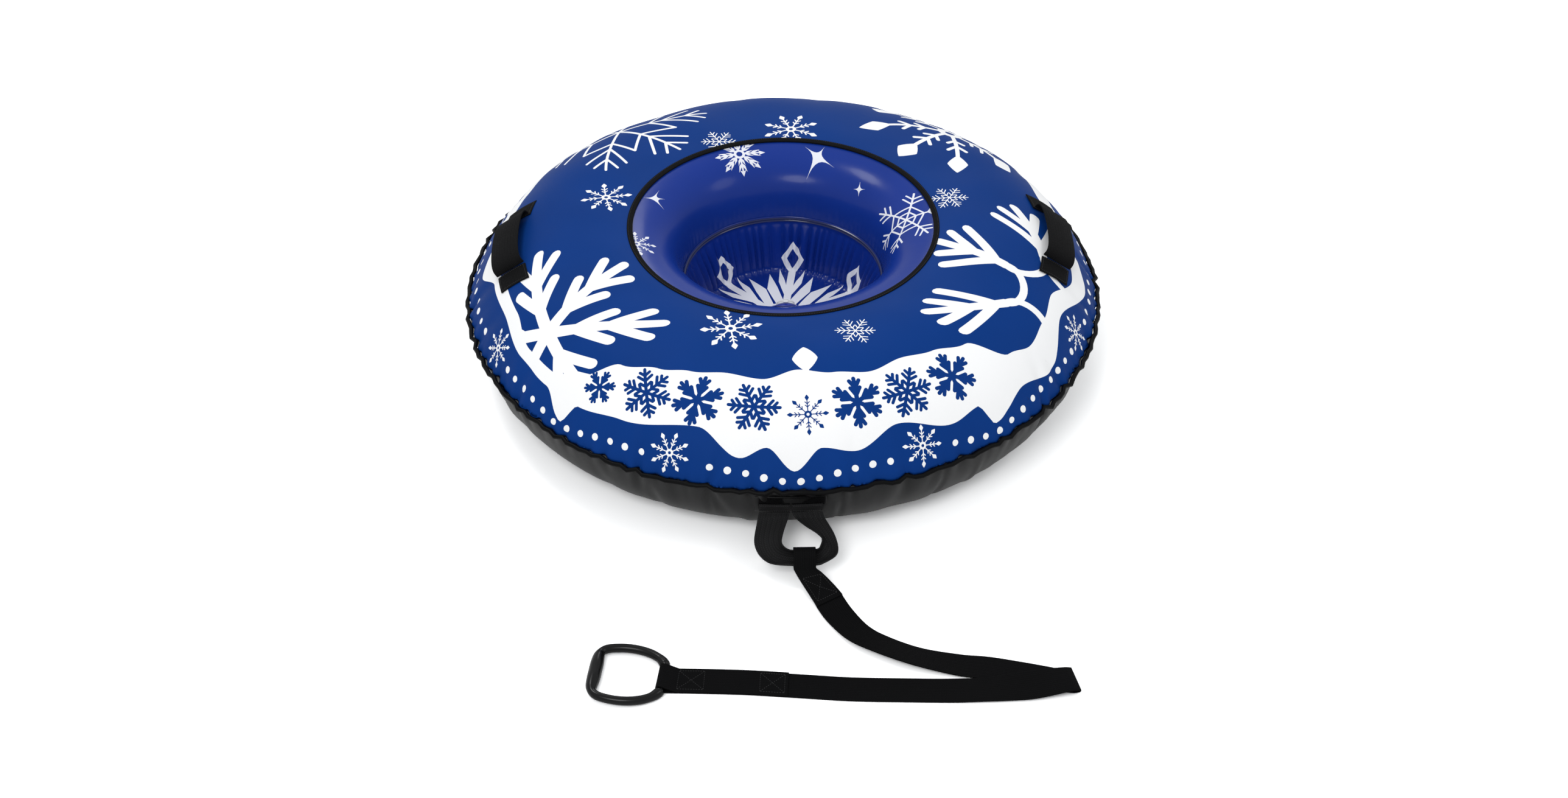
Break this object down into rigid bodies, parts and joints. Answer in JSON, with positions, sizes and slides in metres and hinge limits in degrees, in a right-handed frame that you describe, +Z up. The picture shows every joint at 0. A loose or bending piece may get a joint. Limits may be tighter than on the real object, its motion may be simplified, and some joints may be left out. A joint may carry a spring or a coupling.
{
  "type": "snow tube",
  "caption": "Inflatable ring-shaped sled with a welded seat, a two-panel cloth cover, side grab handles and a webbing tow leash that ends in a hand ring.",
  "frame": {"origin": "on the ground, on the tube's axis", "axes": "+Z up along the tube axis, the tow loop faces -Y, +X to the right of someone who looks along +Y"},
  "size_m": [1.1152, 1.4571, 0.2701],
  "materials": {
    "inner_tube": "glossy welded film",
    "seat_floor": "glossy welded film",
    "seat_weld": "glossy welded film",
    "top_cover": "satin coated cloth, printed",
    "bottom_cover": "coated cloth, slightly shiny",
    "rim_binding": "woven tape",
    "seam_piping": "coated cloth over a cord",
    "left_grip": "woven webbing",
    "right_grip": "woven webbing",
    "left_front_patch": "woven webbing",
    "left_rear_patch": "woven webbing",
    "right_front_patch": "woven webbing",
    "right_rear_patch": "woven webbing",
    "tow_patch": "glossy coated cloth",
    "left_tow_tab": "woven webbing",
    "right_tow_tab": "woven webbing",
    "tow_loop": "woven webbing",
    "tow_strap": "woven webbing",
    "tow_ring": "moulded, smooth",
    "valve_base": "soft, welded",
    "valve_body": "moulded",
    "valve_diaphragm": "moulded",
    "valve_cap": "moulded",
    "valve_tether": "moulded"
  },
  "bodies": {
    "tube": {"inner_tube": "inner_tube", "seat_floor": "seat_floor", "seat_weld": "seat_weld", "top_cover": "top_cover", "bottom_cover": "bottom_cover", "rim_binding": "rim_binding", "seam_piping": "seam_piping", "left_front_patch": "left_front_patch", "left_rear_patch": "left_rear_patch", "right_front_patch": "right_front_patch", "right_rear_patch": "right_rear_patch", "tow_patch": "tow_patch", "left_tow_tab": "left_tow_tab", "right_tow_tab": "right_tow_tab", "valve_base": "valve_base", "valve_body": "valve_body", "valve_tether": "valve_tether"},
    "left_handle": {"left_grip": "left_grip"},
    "right_handle": {"right_grip": "right_grip"},
    "loop": {"tow_loop": "tow_loop"},
    "leash": {"tow_strap": "tow_strap"},
    "ring": {"tow_ring": "tow_ring"},
    "cap": {"valve_cap": "valve_cap"},
    "diaphragm": {"valve_diaphragm": "valve_diaphragm"}
  },
  "joints": [
    {"name": "left_grip_tilt", "type": "hinge", "parent": "tube", "child": "left_handle", "pos_m": [-0.4706, 0, 0.22861], "axis": [0, 1, 0], "range_deg": [-4, 4]},
    {"name": "right_grip_tilt", "type": "hinge", "parent": "tube", "child": "right_handle", "pos_m": [0.4706, 0, 0.22861], "axis": [0, 1, 0], "range_deg": [-4, 4]},
    {"name": "tow_loop_lift", "type": "hinge", "parent": "tube", "child": "loop", "pos_m": [0, -0.54108, 0.07665], "axis": [-1, 0, 0], "range_deg": [0, 60]},
    {"name": "leash_lift", "type": "hinge", "parent": "loop", "child": "leash", "pos_m": [0.0205, -0.60968, 0.03988], "axis": [-1, 0, 0], "range_deg": [0, 45]},
    {"name": "ring_swing", "type": "hinge", "parent": "leash", "child": "ring", "pos_m": [-0.2041, -0.8427, 0.0079], "axis": [0.1392, 0.9903, 0], "range_deg": [0, 150]},
    {"name": "cap_open", "type": "hinge", "parent": "tube", "child": "cap", "pos_m": [0, -0.19408, 0.24436], "axis": [1, 0, 0], "range_deg": [0, 150]},
    {"name": "diaphragm_lift", "type": "slide", "parent": "tube", "child": "diaphragm", "axis": [0, -0.8545, -0.5195], "range_m": [0, 0.004], "stiffness_N_per_m": 5}
  ]
}
